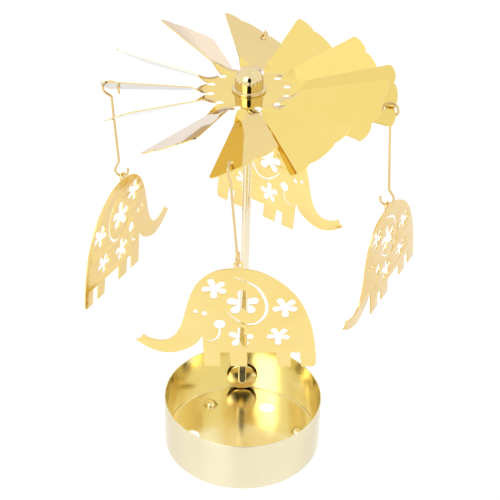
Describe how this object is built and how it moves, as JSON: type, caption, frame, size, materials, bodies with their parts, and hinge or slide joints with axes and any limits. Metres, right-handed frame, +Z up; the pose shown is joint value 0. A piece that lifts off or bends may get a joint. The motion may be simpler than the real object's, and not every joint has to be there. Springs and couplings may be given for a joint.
{
  "type": "candle carousel",
  "caption": "Table candle carousel: a round gold tray for a tea light, a thin pole at its rear wall, a bladed fan turning on top and pierced elephants on wire hooks.",
  "frame": {"origin": "centre of the tray's underside, on the table", "axes": "+Z up, along the pole; -Y towards the front, the side away from the pole; +X to the right seen from the front"},
  "size_m": [0.1357, 0.1258, 0.1649],
  "materials": {
    "tray_brass": "polished gold-coloured plating",
    "polished_brass": "polished gold-coloured plating",
    "fan_brass": "polished gold-coloured sheet",
    "pendant_brass": "satin gold-coloured sheet",
    "wire_brass": "drawn gold-coloured wire",
    "steel": "hardened steel"
  },
  "bodies": {
    "stand": {"tray": "tray_brass", "foot_washer": "polished_brass", "foot_nut": "polished_brass", "pole": "polished_brass", "pivot_needle": "steel"},
    "rotor": {"fan_rotor": "fan_brass", "hub_cap": "polished_brass", "bearing_cup": "steel", "hub_bush": "polished_brass"},
    "hook_right": {"hook_right": "wire_brass"},
    "elephant_right": {"elephant_right": "pendant_brass"},
    "hook_back": {"hook_back": "wire_brass"},
    "elephant_back": {"elephant_back": "pendant_brass"},
    "hook_left": {"hook_left": "wire_brass"},
    "elephant_left": {"elephant_left": "pendant_brass"},
    "hook_front": {"hook_front": "wire_brass"},
    "elephant_front": {"elephant_front": "pendant_brass"}
  },
  "joints": [
    {"name": "rotor_spin", "type": "hinge", "parent": "stand", "child": "rotor", "pos_m": [0, 0.0265, 0.1504], "axis": [0, 0, 1], "continuous": true},
    {"name": "hook_right_swing", "type": "hinge", "parent": "rotor", "child": "hook_right", "pos_m": [0.05328, 0.01901, 0.14669], "axis": [-0.1461, -0.9794, 0.1392], "range_deg": [-20, 35]},
    {"name": "elephant_right_rock", "type": "hinge", "parent": "hook_right", "child": "elephant_right", "pos_m": [0.05452, 0.01337, 0.10826], "axis": [-0.8755, 0.4833, 0], "range_deg": [-30, 30]},
    {"name": "hook_back_swing", "type": "hinge", "parent": "rotor", "child": "hook_back", "pos_m": [0.00744, 0.07946, 0.14669], "axis": [0.9794, -0.1461, 0.1392], "range_deg": [-20, 35]},
    {"name": "elephant_back_rock", "type": "hinge", "parent": "hook_back", "child": "elephant_back", "pos_m": [0.01205, 0.07401, 0.1085], "axis": [-0.6211, -0.7837, 0], "range_deg": [-30, 30]},
    {"name": "hook_left_swing", "type": "hinge", "parent": "rotor", "child": "hook_left", "pos_m": [-0.05307, 0.03355, 0.14643], "axis": [0.1476, 0.9891, 0], "range_deg": [-20, 35]},
    {"name": "elephant_left_rock", "type": "hinge", "parent": "hook_left", "child": "elephant_left", "pos_m": [-0.04975, 0.03305, 0.10772], "axis": [0.8957, -0.4446, 0], "range_deg": [-30, 30]},
    {"name": "hook_front_swing", "type": "hinge", "parent": "rotor", "child": "hook_front", "pos_m": [-0.00704, -0.0268, 0.14667], "axis": [-0.984, 0.1468, -0.1011], "range_deg": [-20, 35]},
    {"name": "elephant_front_rock", "type": "hinge", "parent": "hook_front", "child": "elephant_front", "pos_m": [-0.00331, -0.02841, 0.10803], "axis": [-0.0105, 0.9999, 0], "range_deg": [-30, 30]}
  ]
}
